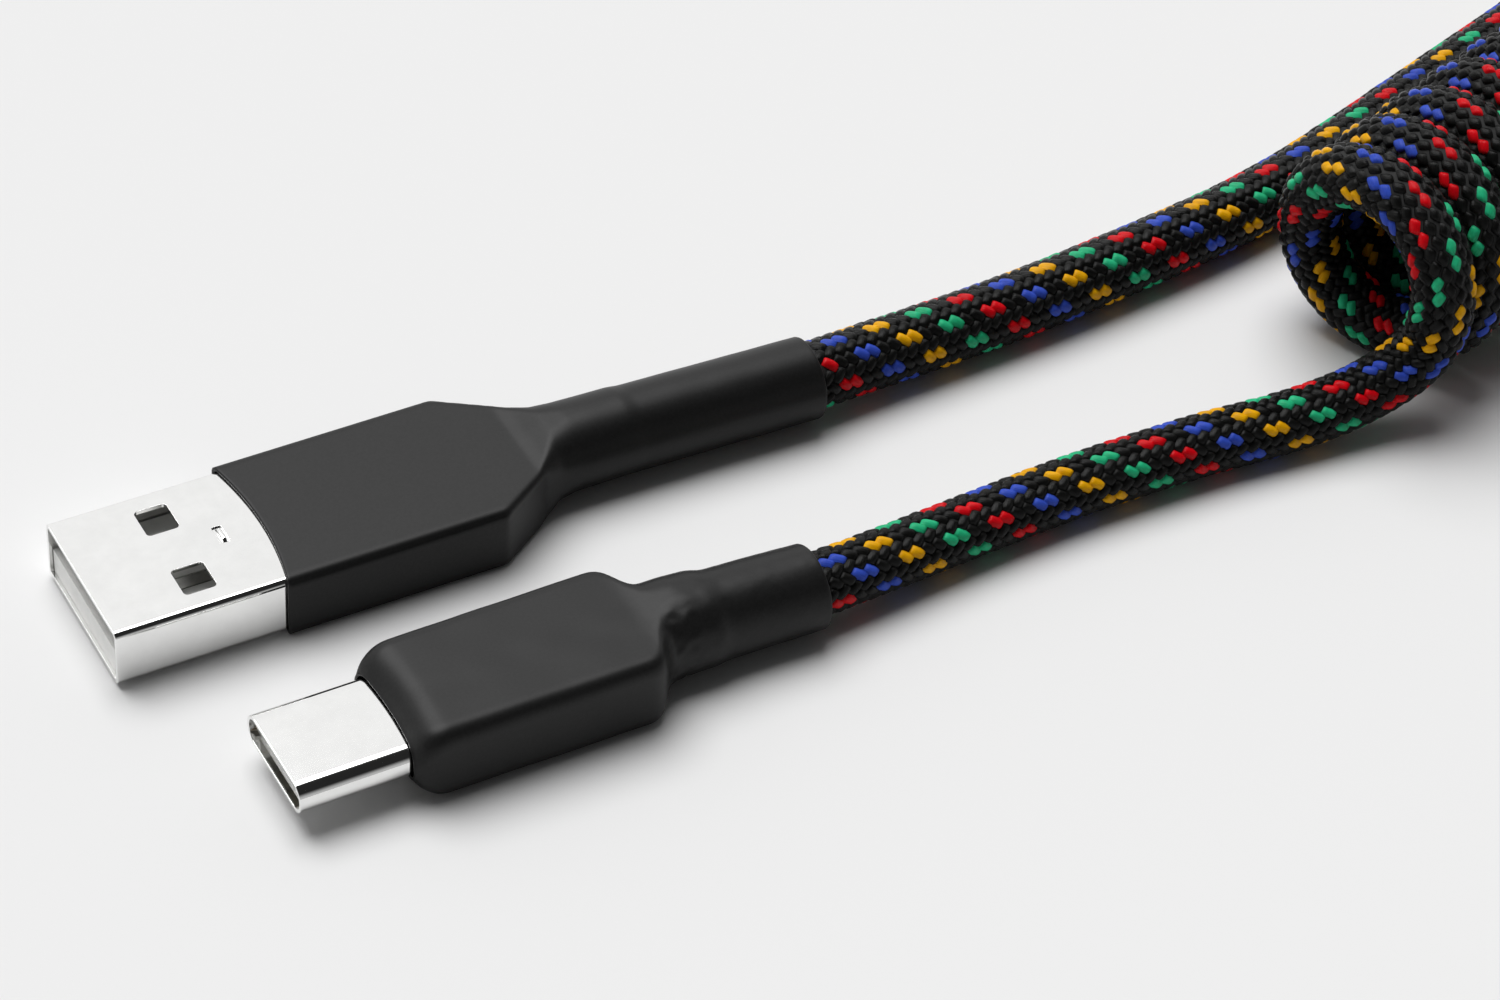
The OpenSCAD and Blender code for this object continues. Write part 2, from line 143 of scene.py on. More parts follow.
def coil_point(turn):
    """Point of the coil, counted in turns from its near side."""
    yaw = math.radians(COIL_YAW)
    along = np.array([math.cos(yaw), math.sin(yaw), 0])
    near = np.array([math.sin(yaw), -math.cos(yaw), 0])
    up = np.array([0, 0, 1.0])
    middle = np.array([*COIL_START, COIL_R + CORD_D / 2])
    a = 2 * math.pi * turn
    return middle + COIL_PITCH * turn * along + COIL_R * (math.cos(a) * near + math.sin(a) * up)


def spline(points, step):
    """Points every step along the smooth curve through the given ones, and their distances along it."""
    p = np.asarray(points, float)
    p = np.vstack([2 * p[0] - p[1], p, 2 * p[-1] - p[-2]])
    fine = []
    substeps = 24
    t = np.linspace(0, 1, substeps, endpoint=False)[:, None]
    for i in range(1, len(p) - 2):
        k = [np.linalg.norm(p[j + 1] - p[j]) ** 0.5 for j in (i - 1, i, i + 1)]
        m1 = (p[i] - p[i - 1]) / k[0] - (p[i + 1] - p[i - 1]) / (k[0] + k[1]) + (p[i + 1] - p[i]) / k[1]
        m2 = (p[i + 1] - p[i]) / k[1] - (p[i + 2] - p[i]) / (k[1] + k[2]) + (p[i + 2] - p[i + 1]) / k[2]
        m1, m2 = m1 * k[1], m2 * k[1]
        fine.append((2 * t**3 - 3 * t**2 + 1) * p[i] + (t**3 - 2 * t**2 + t) * m1
                    + (3 * t**2 - 2 * t**3) * p[i + 1] + (t**3 - t**2) * m2)
    fine = np.vstack(fine + [p[-2:-1]])
    run = np.r_[0, np.cumsum(np.linalg.norm(np.diff(fine, axis=0), axis=1))]
    even = np.linspace(0, run[-1], int(round(run[-1] / step)) + 1)
    return np.stack([np.interp(even, run, fine[:, k]) for k in range(3)], 1), even


# the cord's line, and the distance along it of each of its points
last_point = int(TURN_POINTS * (COIL_TURNS - LAST_TURN))
turn_points = [coil_point(k / TURN_POINTS) for k in range(last_point + 1)]
LINE, RUN = spline([*C_ROUTE, *LEAD_IN, *turn_points, *reversed(A_ROUTE)], STEP)
# where the two leads meet the coil, as distances along the line
C_END = float(RUN[np.argmin(np.linalg.norm(LINE - turn_points[0], axis=1))])
A_END = float(RUN[np.argmin(np.linalg.norm(LINE - turn_points[-1], axis=1))])


def cord_frames(line):
    """Unit vectors along the line and across it, carried on without twist."""
    along = np.gradient(line, axis=0)
    along /= np.linalg.norm(along, axis=1)[:, None]
    side = np.empty_like(line)
    s = np.cross([0, 0, 1.0], along[0])
    for i, t in enumerate(along):
        s = s - t * (s @ t)
        s /= math.sqrt(s @ s)
        side[i] = s
    return along, side, np.cross(along, side)


ALONG, SIDE, UP = cord_frames(LINE)


def ease(x):
    """A smooth rise from 0 to 1 as x goes from 0 to 1."""
    x = np.clip(x, 0, 1)
    return x * x * (3 - 2 * x)


def cord_radius(s):
    """Outer radius of the cord at distance s along it."""
    into_coil = ease((s - C_END + COIL_EASE / 2) / COIL_EASE)
    into_a = ease((s - A_END + LEAD_EASE / 2) / LEAD_EASE)
    return (LEAD_C_D + (CORD_D - LEAD_C_D) * into_coil + (LEAD_A_D - CORD_D) * into_a) / 2


def on_cord(s, angle, radius):
    """Points at a distance along the cord, an angle round it and a radius from its middle."""
    at = [np.stack([np.interp(s, RUN, v[:, k]) for k in range(3)], -1) for v in (LINE, SIDE, UP)]
    return at[0] + radius[..., None] * (np.cos(angle)[..., None] * at[1] + np.sin(angle)[..., None] * at[2])


# ---------------------------------------------------------------- the braid

YARNS = 16             # yarns wound each way
CROSSINGS = 2 * YARNS  # crossings round the cord, and along it in one lay
FLOAT_EVERY = 4        # crossings from one float of a yarn to its next
LAY_C, LAY_A = 15.2, 14.5       # length in which a yarn goes once round, at the two ends
LAY_MARGIN = 50        # the lay changes in the coil, and is settled this far inside its ends
START_ANGLE = 1.0      # degrees that the braid is turned at the USB-C end
SLIP = -4.64           # crossings that it is moved along there
A_TURN = 7.3           # degrees that it turns on by the USB-A end
A_SLIP = -15.4         # crossings that it moves on by there
SWAP_AFTER = 30        # distance past the coil at which the red and yellow yarns change places
FLOAT_HALF_LEN = 1.08  # half the length of a float, in crossings
FLOAT_HALF_W = 0.62    # half its width, in crossings
FLOAT_ROWS, FLOAT_COLS = 9, 5
LENGTH_PULL = 1.45     # power of the cover's stretch by which a float gets shorter
WIDTH_PULL = 0.4       # and by which it gets narrower
TIP_NARROWING = 0.22   # share of its width that a float loses at its ends
RISE = 0.40            # height of a float's crown over its ends
UNEVEN_LEN = 0.03      # how far one float differs from the next: in length, as a share,
UNEVEN_W = 0.04        # in width, as a share,
UNEVEN_PLACE = 0.03    # sideways, in crossings,
UNEVEN_RISE = 0.012    # and in height and slope
CORE_INSET = 0.27      # from the outside of the braid to the dark body under it
CORE_SIDES = 24
CORE_SKIP = 3          # steps of the line between two rings of the body
COLOUR_ORDER = ["blue", "blue", "black", "black", "red", "red", "black", "black",
                "green", "green", "black", "black", "yellow", "yellow", "black", "black"]
BRAID_BLACKS = 5       # stretches that the black yarns are made in

# along the line: the share of the change from one end to the other, the number of crossings
# passed, and the angle that the braid is turned by
CHANGE = ease((RUN - C_END - LAY_MARGIN) / (A_END - C_END - 2 * LAY_MARGIN))
PER_MM = CROSSINGS / (LAY_C + (LAY_A - LAY_C) * CHANGE)
PASSED = np.r_[0, np.cumsum((PER_MM[1:] + PER_MM[:-1]) / 2 * np.diff(RUN))]
CROSSING = PASSED - SLIP - A_SLIP * CHANGE
TURN = np.radians(START_ANGLE + A_TURN * CHANGE)


def braid_floats(way):
    """Crossing, column and yarn of each float wound one way: +1 is a right-hand screw."""
    first, last = CROSSING[0] + 0.5, CROSSING[-1] - 0.5
    m = np.arange(int(first / FLOAT_EVERY) - YARNS, int(last / FLOAT_EVERY) + YARNS) * way
    yarn, m = np.meshgrid(np.arange(YARNS), m, indexing="ij")
    # the floats of the two ways lie half a repeat apart
    column = FLOAT_EVERY * m + (0.5 if way > 0 else 2.5)
    crossing = column - 2 * yarn if way > 0 else 2 * yarn - column
    keep = (crossing > first) & (crossing < last)
    return crossing[keep], column[keep], yarn[keep]


def stretch(s, angle):
    """How far the bend of the cord pulls its cover open at that place, 1 on a straight run."""
    bend = np.gradient(ALONG, RUN, axis=0)
    bend, side, up = ([np.interp(s, RUN, v[:, k]) for k in range(3)] for v in (bend, SIDE, UP))
    towards = sum(b * (np.cos(angle) * sd + np.sin(angle) * u) for b, sd, u in zip(bend, side, up))
    return 1 - towards * cord_radius(s)


def float_mesh(name, crossing, column, way, seed):
    """Raised pillows, one for each float: the yarn rises, crosses two others and dives again."""
    rng = np.random.default_rng(seed)
    n = len(crossing)

    def vary(amount):
        """One random number for each float."""
        return rng.normal(0, amount, (n, 1, 1))

    # a is the place along the yarn and b across it, both from -1 to 1
    a, b = np.meshgrid(np.linspace(-1, 1, FLOAT_ROWS), np.linspace(-1, 1, FLOAT_COLS), indexing="ij")
    a = np.sign(a) * np.abs(a) ** 0.8
    narrowing = 1 - TIP_NARROWING * np.abs(a) ** 4
    column_angle = 2 * math.pi / CROSSINGS
    middle = np.interp(crossing, CROSSING, RUN)
    pull = stretch(middle, column_angle * column + np.interp(middle, RUN, TURN))
    pull = np.maximum(1, pull)[:, None, None]
    # u and v are the same places in crossings
    u = a * FLOAT_HALF_LEN / pull**LENGTH_PULL * (1 + vary(UNEVEN_LEN))
    v = b * narrowing * FLOAT_HALF_W / pull**WIDTH_PULL * (1 + vary(UNEVEN_W)) + vary(UNEVEN_PLACE)
    s = np.interp(crossing[:, None, None] + u + v, CROSSING, RUN)
    angle = column_angle * (column[:, None, None] + way * (u - v)) + np.interp(s, RUN, TURN)
    # a float is flat-topped along its length and round across it
    crown = (1 - np.abs(a) ** 4) ** 0.6 * (0.3 + 0.7 * np.sqrt(1 - 0.94 * b**2))
    lift = RISE * (crown - 1) + vary(UNEVEN_RISE) * a + vary(UNEVEN_RISE)
    points = on_cord(s, angle, cord_radius(s) + lift)
    quads = grid_quads(FLOAT_ROWS, FLOAT_COLS)
    if way > 0:
        quads = quads[:, ::-1]
    quads = (quads[None] + (np.arange(n) * FLOAT_ROWS * FLOAT_COLS)[:, None, None]).reshape(-1, 4)
    # each float gets a place of its own in the yarn's pattern
    place = rng.uniform(0, 50, (n, 1, 1))
    uv = np.stack([a * 0.8 + place, b * 0.4 + np.floor(place * 7)], -1)
    return new_mesh(name, points.reshape(-1, 3), quads, uv.reshape(-1, 2))


def cord_core():
    """The dark body of the cord under the yarns."""
    pick = np.unique(np.r_[np.arange(0, len(RUN), CORE_SKIP), len(RUN) - 1])
    angle = np.linspace(0, 2 * math.pi, CORE_SIDES, endpoint=False)
    s = np.repeat(RUN[pick][:, None], CORE_SIDES, 1)
    points = on_cord(s, np.repeat(angle[None], len(pick), 0), cord_radius(s) - CORE_INSET)
    quads = grid_quads(len(pick), CORE_SIDES, wrap_cols=True)
    core = new_mesh("cord_core", points.reshape(-1, 3), quads)
    bm = bmesh.new()
    bm.from_mesh(core.data)
    bmesh.ops.holes_fill(bm, edges=[e for e in bm.edges if e.is_boundary], sides=CORE_SIDES)
    bmesh.ops.recalc_face_normals(bm, faces=bm.faces)
    bm.to_mesh(core.data)
    bm.free()
    return core


def make_braid():
    """All the floats: one piece for each colour, and a few for the black yarns."""
    crossing, column, yarn = braid_floats(+1)
    colour = np.array(COLOUR_ORDER)[yarn]
    # on the way to the USB-A plug the red and the yellow yarns change places
    swap = np.interp(crossing, CROSSING, RUN) > A_END + SWAP_AFTER
    red, yellow = colour == "red", colour == "yellow"
    colour = np.where(swap & red, "yellow", np.where(swap & yellow, "red", colour))
    pieces = {}
    for seed, name in enumerate(("blue", "yellow", "green", "red")):
        pick = colour == name
        pieces[name] = [float_mesh(f"yarn_{name}", crossing[pick], column[pick], +1, seed)]
    black = colour == "black"
    ways = {"right": (+1, crossing[black], column[black]), "left": (-1, *braid_floats(-1)[:2])}
    edges = np.linspace(CROSSING[0], CROSSING[-1], BRAID_BLACKS + 1)
    pieces["black"] = []
    for k in range(BRAID_BLACKS):
        for side, (way, c, col) in ways.items():
            part = (c >= edges[k]) & (c < edges[k + 1])
            name = f"yarn_black_{side}_{k + 1}"
            pieces["black"].append(float_mesh(name, c[part], col[part], way, 10 * k + 5 + way))
    return pieces


core = cord_core()
yarns = make_braid()
yarn_objects = [o for group in yarns.values() for o in group]
for piece in [core] + yarn_objects:
    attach(piece, "cable")
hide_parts("lead_c", "coil", "lead_a")


# ---------------------------------------------------------------- heat-shrink sleeves

SLEEVE_POINTS = 120    # points in one ring
SLEEVE_STEP = 0.15     # between two rings
BOOT_DRIFT = math.tan(math.radians(2))      # the boots lean towards -Y
LIP_RINGS = 5          # rings round each cut edge
LIP_BULGE = 0.6        # how round a cut edge is: 1 is a half circle
MIN_CORNER = 0.15      # least radius of a sleeve's corners
EDGE_FADE = 2.5        # length over which the bow of the front edge dies out
PUCKER_X = 27.8        # middle of the puckers, from the tip of the plug
PUCKER_SPREAD = 1.5
A_NECK, C_NECK = 33.6, 27.6     # where the boots start to lean, from the tips
# rows of (x from the tip, half width, bottom, top, corner, wall)
A_SLEEVE = [
    (12, 6.32, 0, 5.1, 0.55, 0.28), (28, 6.36, 0, 5.1, 0.5, 0.28), (31.6, 4.05, 0, 5.12, 0.5, 0.3),
    (32.3, 3.6, 0, 5.3, 0.9, 0.35), (33.7, 3.25, 0, 5.85, 2.4, 0.45), (35.2, 3.18, 0, 6.1, 3.0, 0.5),
    (39.4, 3.12, 0, 6.2, 3.1, 0.5), (40.2, 3.06, 0, 6.1, 3.05, 0.45), (54, 3.0, 0, 6.0, 3.0, 0.4),
]
C_SLEEVE = [
    (7.7, 4.55, 1.35, 4.45, 1.6, 0.2), (8, 4.85, 0.85, 4.95, 1.6, 0.4), (8.5, 4.98, 0.5, 5.35, 1.5, 0.45),
    (9.1, 5.1, 0.15, 5.65, 1.3, 0.4), (9.8, 5.13, 0, 5.8, 1.2, 0.3), (24.7, 5.15, 0, 5.8, 1.0, 0.3),
    (25.5, 4.9, 0, 5.8, 1.2, 0.35), (26.2, 3.95, 0, 5.9, 2.2, 0.4), (26.9, 3.45, 0, 6.1, 2.8, 0.5),
    (28.4, 3.4, 0, 6.4, 3.1, 0.6), (30.6, 3.35, 0, 6.35, 3.1, 0.6), (31.3, 3.12, 0, 6.2, 3.05, 0.55),
    (38.6, 3.0, 0, 6.0, 3.0, 0.5),
]


def plug_place(shell):
    """The place on the floor under the middle of a plug's tip, in millimetres."""
    low, high = (np.array(c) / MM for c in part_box(shell))
    return np.array([low[0], (low[1] + high[1]) / 2, 0])


def ring(half_w, half_h, corner, count):
    """Points (y, z) evenly spread round a rectangle with round corners."""
    a = np.linspace(0, math.pi / 2, 24)
    arc = np.stack([half_w - corner + corner * np.cos(a), half_h - corner + corner * np.sin(a)], 1)
    path = np.vstack([[[half_w, 0]], arc, [[0, half_h]]])
    half = np.vstack([path, (path * [-1, 1])[::-1]])
    path = np.vstack([half, (half * [1, -1])[::-1]])
    run = np.r_[0, np.cumsum(np.linalg.norm(np.diff(path, axis=0), axis=1))]
    at = np.linspace(0, run[-1], count, endpoint=False)
    return np.stack([np.interp(at, run, path[:, 0]), np.interp(at, run, path[:, 1])], 1)


def soften(values, width):
    """Rounds off the corners of a row of values over that many steps."""
    reach = 3 * width
    k = np.exp(-0.5 * (np.arange(-reach, reach + 1) / width) ** 2)
    padded = np.pad(values, (reach, reach), mode="reflect", reflect_type="odd")
    return np.convolve(padded, k / k.sum(), mode="valid")


def sleeve(name, shell, rows, neck, crease, edge_curve, relief):
    """A closed tube-like wall through rows of (x, half width, bottom, top, corner, wall).

    neck is where the boot starts to lean, crease how many steps round off its bends, edge_curve
    how far the front edge bows back in the middle, and relief its unevenness.
    """
    rows = np.array(rows, float)
    x = np.arange(rows[0, 0], rows[-1, 0] + SLEEVE_STEP / 2, SLEEVE_STEP)
    half_w, low, high, corner, wall = (
        soften(np.interp(x, rows[:, 0], rows[:, k]), crease) for k in range(1, 6))
    # each ring has a place along the sleeve, how deep it lies in the wall, and how far past the end
    lip = np.linspace(0, math.pi, LIP_RINGS + 2)[1:-1]
    steps = [(i, 0.0, 0.0) for i in range(len(x))]
    steps += [(len(x) - 1, (1 - math.cos(t)) / 2, math.sin(t) / 2) for t in lip]
    steps += [(i, 1.0, 0.0) for i in reversed(range(len(x)))]
    steps += [(0, (1 + math.cos(t)) / 2, -math.sin(t) / 2) for t in lip]
    points = []
    for i, share, beyond in steps:
        inset = wall[i] * share
        w, h = half_w[i] - inset, (high[i] - low[i]) / 2 - inset
        r = min(max(corner[i] - inset, MIN_CORNER), w - 0.01, h - 0.01)
        yz = ring(w, h, r, SLEEVE_POINTS)
        out = yz / np.linalg.norm(yz, axis=1)[:, None]
        px = np.full(len(yz), x[i] + beyond * wall[i] * LIP_BULGE)
        bow = edge_curve * math.exp(-((x[i] - x[0]) / EDGE_FADE) ** 2)
        px += bow * (1 - (yz[:, 0] / half_w[0]) ** 2)
        depth = relief(px, np.arctan2(yz[:, 1], yz[:, 0])) * (1 - share)
        yz = yz + out * depth[:, None]
        drift = np.maximum(0, px - neck) * BOOT_DRIFT
        points.append(np.stack([px, yz[:, 0] - drift, yz[:, 1] + (high[i] + low[i]) / 2], 1))
    points = np.array(points) + plug_place(shell)
    quads = grid_quads(len(steps), SLEEVE_POINTS, wrap_rows=True, wrap_cols=True)[:, ::-1]
    return new_mesh(name, points.reshape(-1, 3), quads)


def waviness(x, around, along_scale, round_scale, shift=0):
    """Smooth noise from about -1 to 1 over a sleeve."""
    y, z = np.cos(around) * round_scale, np.sin(around) * round_scale
    return np.array([noise.noise(place) for place in zip(x * along_scale + shift, y, z)])


def relief_a(x, around):
    """Slight unevenness of the USB-A sleeve, on its boot."""
    return 0.03 * waviness(x, around, 0.35, 1.5) * ease((x - 30) / 4)


def relief_c(x, around):
    """Unevenness of the USB-C sleeve, with puckers on the -Y side of its neck."""
    waves = waviness(x, around, 0.3, 1.5)
    fine = waviness(x, around, 1.5, 5, shift=9)
    near_side = ease((-np.cos(around) - 0.1) / 0.7)
    pucker = np.exp(-(((x - PUCKER_X) / PUCKER_SPREAD) ** 2)) * near_side
    return 0.04 * waves + pucker * (0.10 * fine - 0.05) + 0.012 * fine * ease((x - 24) / 3)


sleeve_a = sleeve("usb_a_heat_shrink", "usb_a_shell", A_SLEEVE, A_NECK, 1, 0.8, relief_a)
sleeve_c = sleeve("usb_c_heat_shrink", "usb_c_shell", C_SLEEVE, C_NECK, 2, 0.35, relief_c)
for piece, cad in ((sleeve_a, "usb_a_sleeve"), (sleeve_c, "usb_c_sleeve")):
    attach(piece, "cable")
    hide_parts(cad)

# ---------------------------------------------------------------- shells and inner pieces

FLAT_ANGLE = math.radians(0.5)      # facets that meet at less than this become one
SHARP_ANGLE = math.radians(35)      # edges sharper than this are rounded
EDGE_SEGMENTS = 3
# radius of the rounded edges
FINISHED = {"usb_a_shell": 0.05, "usb_a_insulator": 0.12, "usb_c_shell": 0.05, "usb_c_insulator": 0.05}
MARK_X = 9.95                       # middle of the stamped mark, from the tip of the plug
MARK_HALF_SIZE = (0.17, 0.7, 0.11)
MARK_ROWS = 9


def finished_copy(cad, edge):
    """A copy of a CAD piece with its sharp edges rounded."""
    mesh = frame["nodes"][cad].data.copy()
    obj = bpy.data.objects.new(f"{cad}_finished", mesh)
    bpy.context.collection.objects.link(obj)
    bm = bmesh.new()
    bm.from_mesh(mesh)
    bmesh.ops.remove_doubles(bm, verts=bm.verts, dist=1e-6)
    bmesh.ops.dissolve_limit(bm, angle_limit=FLAT_ANGLE, verts=bm.verts, edges=bm.edges)
    sharp = [e for e in bm.edges if e.is_manifold and e.calc_face_angle(0) > SHARP_ANGLE]
    bmesh.ops.bevel(bm, geom=sharp, offset=edge * MM, offset_type="OFFSET", segments=EDGE_SEGMENTS,
                    profile=0.5, affect="EDGES", clamp_overlap=True)
    for f in bm.faces:
        f.smooth = True
    # corners turn with the wide faces, so that those look flat and their rounded edges look round
    normals = []
    for v in bm.verts:
        n = sum((f.normal * f.calc_area() for f in v.link_faces), Vector())
        normals.append(n.normalized())
    bm.to_mesh(mesh)
    bm.free()
    mesh.normals_split_custom_set_from_vertices(normals)
    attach(obj, "cable")
    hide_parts(cad)
    return obj


def stamped_bar(mesh, middle, half_size):
    """Adds the raised bar of a stamped mark to a mesh."""
    places = np.linspace(-1, 1, MARK_ROWS)
    a, b = np.meshgrid(places, places, indexing="ij")
    rise = (1 - a**4) ** 0.5 * (1 - b**4) ** 0.5
    points = np.stack([a, b, rise * 2 - 1], -1).reshape(-1, 3) * half_size + middle
    bm = bmesh.new()
    bm.from_mesh(mesh)
    verts = [bm.verts.new(p) for p in points * MM]
    for quad in grid_quads(MARK_ROWS, MARK_ROWS):
        bm.faces.new([verts[k] for k in quad]).smooth = True
    bm.to_mesh(mesh)
    bm.free()


finished = {cad: finished_copy(cad, edge) for cad, edge in FINISHED.items()}
shell_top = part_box("usb_a_shell")[1][2] / MM
mark_place = plug_place("usb_a_shell") + [MARK_X, 0, shell_top]
stamped_bar(finished["usb_a_shell"].data, mark_place, MARK_HALF_SIZE)

# ---------------------------------------------------------------- materials

def material(name):
    """A new node material, its node tree and its shader."""
    mat = bpy.data.materials.new(name)
    mat.use_nodes = True
    tree = mat.node_tree
    shader = tree.nodes["Principled BSDF"]
    return mat, tree, shader


def node(tree, kind, inputs=None, **settings):
    """Adds a node, sets its fields and its input values or links."""
    n = tree.nodes.new(kind)
    for key, value in settings.items():
        setattr(n, key, value)
    for key, value in (inputs or {}).items():
        if isinstance(value, bpy.types.NodeSocket):
            tree.links.new(value, n.inputs[key])
        else:
            n.inputs[key].default_value = value
    return n


def ramp(tree, factor, *stops):
    """A colour ramp of (place, grey or colour) stops."""
    n = node(tree, "ShaderNodeValToRGB", {"Fac": factor})
    elements = n.color_ramp.elements
    for i, (place, colour) in enumerate(stops):
        e = elements[i] if i < len(elements) else elements.new(place)
        e.position = place
        colour = (colour,) * 3 if isinstance(colour, (int, float)) else colour
        e.color = (*colour, 1)
    return n.outputs["Color"]


def bumped(tree, shader, height, strength, distance):
    """Gives a shader a bump of that height, over a distance in millimetres."""
    bump = node(tree, "ShaderNodeBump", {"Height": height, "Strength": strength, "Distance": distance * MM})
    tree.links.new(bump.outputs["Normal"], shader.inputs["Normal"])


def yarn_material(name, dark, light):
    """Twisted filament yarn: fine threads run along each float."""
    mat, tree, shader = material(name)
    uv = node(tree, "ShaderNodeUVMap", uv_map="UVMap").outputs["UV"]
    threads = node(tree, "ShaderNodeMapping", {"Vector": uv, "Scale": (1.2, 26, 1)}).outputs["Vector"]
    fine = node(tree, "ShaderNodeTexNoise", {"Vector": threads, "Scale": 1.0, "Detail": 3}).outputs["Fac"]
    slow = node(tree, "ShaderNodeTexNoise", {"Vector": uv, "Scale": 0.9, "Detail": 2}).outputs["Fac"]
    both = node(tree, "ShaderNodeMath", {0: fine, 1: slow}, operation="ADD").outputs[0]
    mean = node(tree, "ShaderNodeMath", {0: both, 1: 0.5}, operation="MULTIPLY").outputs[0]
    tree.links.new(ramp(tree, mean, (0.32, dark), (0.68, light)), shader.inputs["Base Color"])
    bumped(tree, shader, fine, 0.5, 0.06)
    shader.inputs["Roughness"].default_value = 0.27
    shader.inputs["Specular IOR Level"].default_value = 0.1
    return mat


def speckled(name, dark, light, roughness, scale, bump_mm, metallic=0.0, specular=0.5):
    """A material with fine mottling in colour, and a bump of the same grain."""
    mat, tree, shader = material(name)
    place = node(tree, "ShaderNodeTexCoord").outputs["Object"]
    grain = node(tree, "ShaderNodeTexNoise",
                 {"Vector": place, "Scale": scale, "Detail": 4, "Roughness": 0.6}).outputs["Fac"]
    tree.links.new(ramp(tree, grain, (0.35, dark), (0.65, light)), shader.inputs["Base Color"])
    bumped(tree, shader, grain, 0.4, bump_mm)
    shader.inputs["Roughness"].default_value = roughness
    shader.inputs["Metallic"].default_value = metallic
    shader.inputs["Specular IOR Level"].default_value = specular
    return mat


YARN_COLOURS = {
    "blue": ((0.022, 0.050, 0.36), (0.045, 0.100, 0.58)),
    "yellow": ((0.60, 0.27, 0.002), (0.90, 0.46, 0.004)),
    "green": ((0.012, 0.32, 0.13), (0.028, 0.54, 0.26)),
    "red": ((0.46, 0.002, 0.006), (0.74, 0.004, 0.010)),
    "black": ((0.0025, 0.0025, 0.0025), (0.009, 0.009, 0.0085)),
}
for name, (dark, light) in YARN_COLOURS.items():
    mat = yarn_material(f"yarn_{name}", dark, light)
    for o in yarns[name]:
        o.data.materials.append(mat)
core.data.materials.append(speckled("cord_inside", 0.004, 0.008, 0.8, 900, 0.02))

shrink = speckled("heat_shrink", 0.0065, 0.010, 0.42, 5000, 0.004, specular=0.22)
nickel = speckled("nickel", (0.82, 0.82, 0.81), (0.86, 0.86, 0.85), 0.07, 500, 0.001, metallic=1.0)
tongue_white = speckled("tongue", (0.78, 0.78, 0.76), (0.84, 0.84, 0.82), 0.45, 900, 0.004)
mouth_grey = speckled("mouth_grey", (0.70, 0.70, 0.67), (0.78, 0.78, 0.75), 0.4, 900, 0.004)
gold = speckled("gold", (0.75, 0.52, 0.18), (0.85, 0.62, 0.25), 0.22, 1500, 0.001, metallic=1.0)
spring_steel = speckled("spring_steel", (0.45, 0.45, 0.44), (0.55, 0.55, 0.53), 0.28, 1200, 0.001,
                        metallic=1.0)
solder_tin = speckled("solder_tin", (0.55, 0.56, 0.57), (0.65, 0.66, 0.67), 0.22, 800, 0.004, metallic=1.0)
housing_black = speckled("housing_black", 0.02, 0.03, 0.5, 1500, 0.006)
jacket_black = speckled("jacket_black", 0.012, 0.02, 0.55, 1200, 0.006)
board_green = speckled("board_green", (0.02, 0.12, 0.05), (0.03, 0.16, 0.07), 0.3, 900, 0.003)
resistor_black = speckled("resistor_black", 0.015, 0.03, 0.4, 2500, 0.004)
braid_dark = speckled("braid_dark", 0.01, 0.03, 0.5, 1800, 0.05)
WIRES = {
    "red": ((0.45, 0.01, 0.01), (0.6, 0.02, 0.02)),
    "white": ((0.7, 0.7, 0.68), (0.8, 0.8, 0.78)),
    "green": ((0.02, 0.25, 0.07), (0.03, 0.35, 0.10)),
    "black": (0.01, 0.02),
}
BY_SLOT = {
    "shell": nickel, "insulator_white": tongue_white, "insulator_grey": mouth_grey, "contacts": gold,
    "springs": spring_steel, "solder": solder_tin, "housing": housing_black, "collar": spring_steel,
    "jacket": jacket_black, "board": board_green, "resistor": resistor_black, "sleeve": shrink,
    "braid": braid_dark,
}
for name, (dark, light) in WIRES.items():
    BY_SLOT[f"wire_{name}"] = speckled(f"wire_{name}", dark, light, 0.35, 700, 0.003)

SLOTTED = {cad: BY_SLOT[slot] for cad, slot in SLOTS.items()}
SLOTTED["usb_a_contacts"] = spring_steel    # these aren't gilt
for cad, mat in SLOTTED.items():
    for obj in (frame["nodes"][cad], finished.get(cad)):
        if obj:
            obj.data.materials.clear()
            obj.data.materials.append(mat)
for obj in (sleeve_a, sleeve_c):
    obj.data.materials.append(shrink)

# ---------------------------------------------------------------- floor and light

FLOOR_HALF = 3.0       # metres
SOFTBOX_POWER = 2.8
SOFTBOX_SPREAD = 48    # degrees across
SOFTBOX_FROM = (-0.05, 0.38, 0.92)

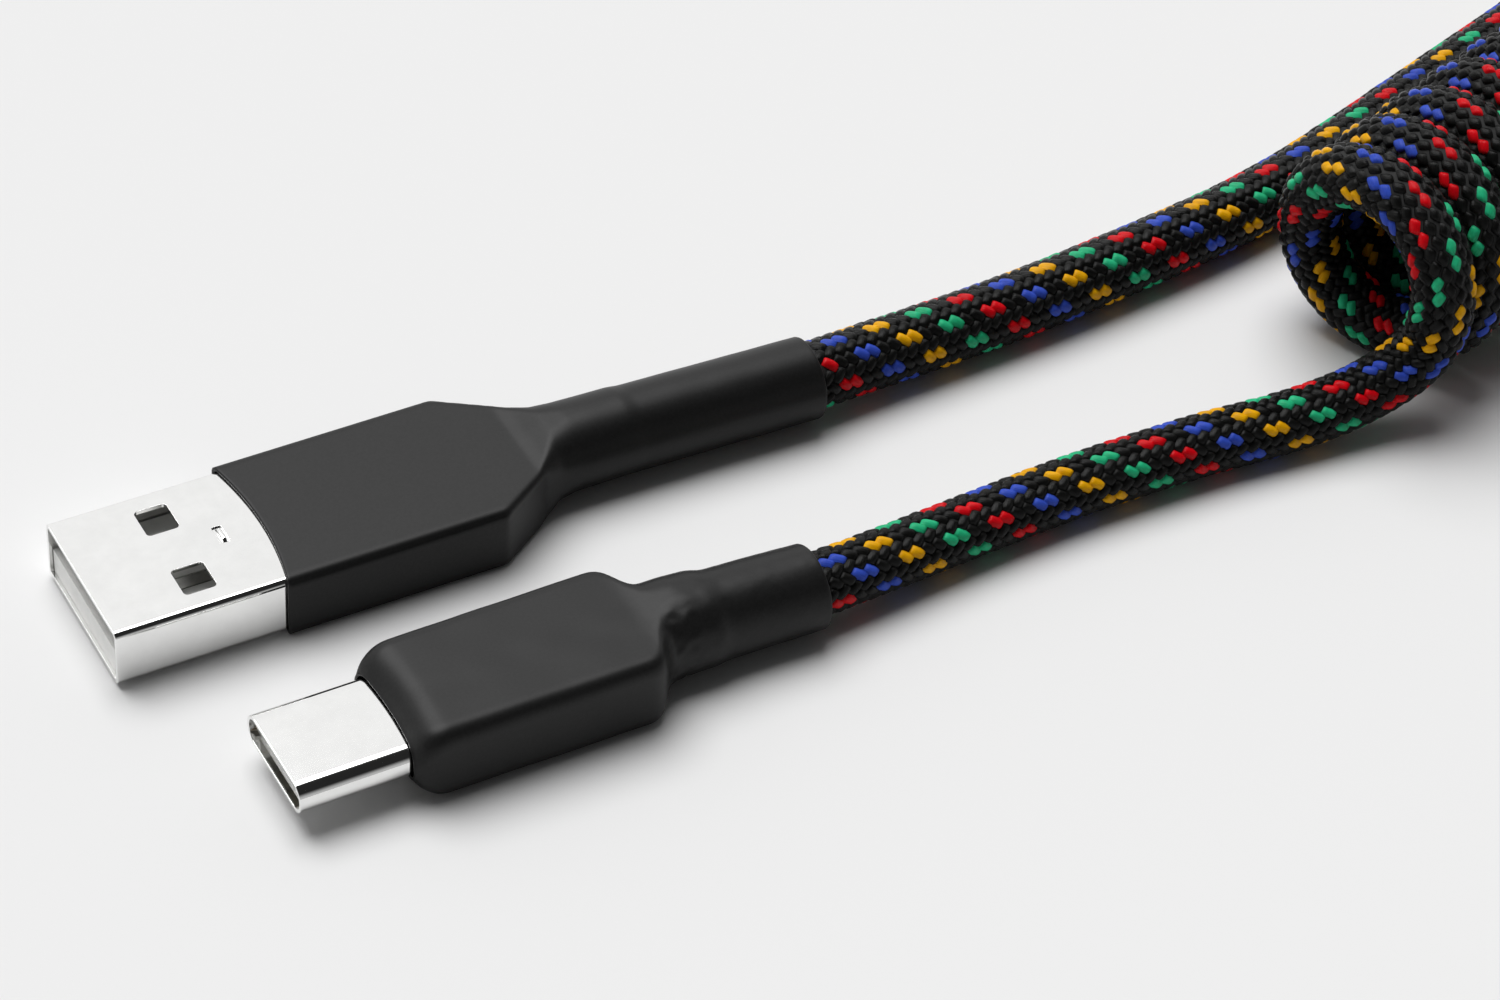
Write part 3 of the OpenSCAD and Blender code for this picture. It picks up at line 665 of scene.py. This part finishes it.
corner_signs = ((-1, -1), (1, -1), (1, 1), (-1, 1))
floor_corners = [(x * FLOOR_HALF, y * FLOOR_HALF, 0) for x, y in corner_signs]
floor_mesh = bpy.data.meshes.new("floor")
floor_mesh.from_pydata(floor_corners, [], [(0, 1, 2, 3)])
floor = bpy.data.objects.new("floor", floor_mesh)
bpy.context.collection.objects.link(floor)
floor_mat, _, floor_shader = material("floor_pale")
floor_shader.inputs["Base Color"].default_value = (0.8, 0.8, 0.8, 1)
floor_shader.inputs["Roughness"].default_value = 0.9
floor_shader.inputs["Specular IOR Level"].default_value = 0.1
floor_mesh.materials.append(floor_mat)

world = bpy.data.worlds.new("studio")
bpy.context.scene.world = world
world.use_nodes = True
wt = world.node_tree
direction = node(wt, "ShaderNodeTexCoord").outputs["Generated"]
xyz = node(wt, "ShaderNodeSeparateXYZ", {"Vector": direction})


def sky_edge(axis, start, end, before, after):
    """Brightness of the sky, which changes smoothly from start to end along an axis."""
    inputs = {"Value": xyz.outputs[axis], "From Min": start, "From Max": end}
    edge = node(wt, "ShaderNodeMapRange", inputs, interpolation_type="SMOOTHSTEP")
    return ramp(wt, edge.outputs["Result"], (0.0, before), (1.0, after))


# what shows in gloss: a bright panel in the back half of the sky, and a dimmer haze low down
panel = sky_edge("Y", 0.0, 0.25, 0.02, 1.0)
haze = sky_edge("Z", 0.1, 0.6, 0.5, 0.0)
panels = node(wt, "ShaderNodeMath", {0: panel, 1: haze}, operation="MAXIMUM").outputs["Value"]
# what lights the matt surfaces is weaker, and comes mostly from the back too
fill = sky_edge("Y", -0.3, 0.4, 0.06, 0.48)
glossy_ray = node(wt, "ShaderNodeLightPath").outputs["Is Glossy Ray"]
# the sky is the fill, apart from what glossy surfaces mirror
sky = node(wt, "ShaderNodeMix", {"Factor": glossy_ray}, data_type="RGBA")
for socket in sky.inputs:
    if socket.type == "RGBA" and socket.name in "AB":
        wt.links.new(fill if socket.name == "A" else panels, socket)
sky_colour = next(socket for socket in sky.outputs if socket.type == "RGBA")
wt.links.new(sky_colour, wt.nodes["Background"].inputs["Color"])

softbox_data = bpy.data.lights.new("softbox", "SUN")
softbox_data.energy = SOFTBOX_POWER
softbox_data.angle = math.radians(SOFTBOX_SPREAD)
softbox = bpy.data.objects.new("softbox", softbox_data)
softbox.rotation_euler = Vector(SOFTBOX_FROM).to_track_quat("Z", "Y").to_euler()
bpy.context.collection.objects.link(softbox)

bpy.context.scene.view_settings.view_transform = "Standard"
bpy.context.scene.view_settings.look = "None"
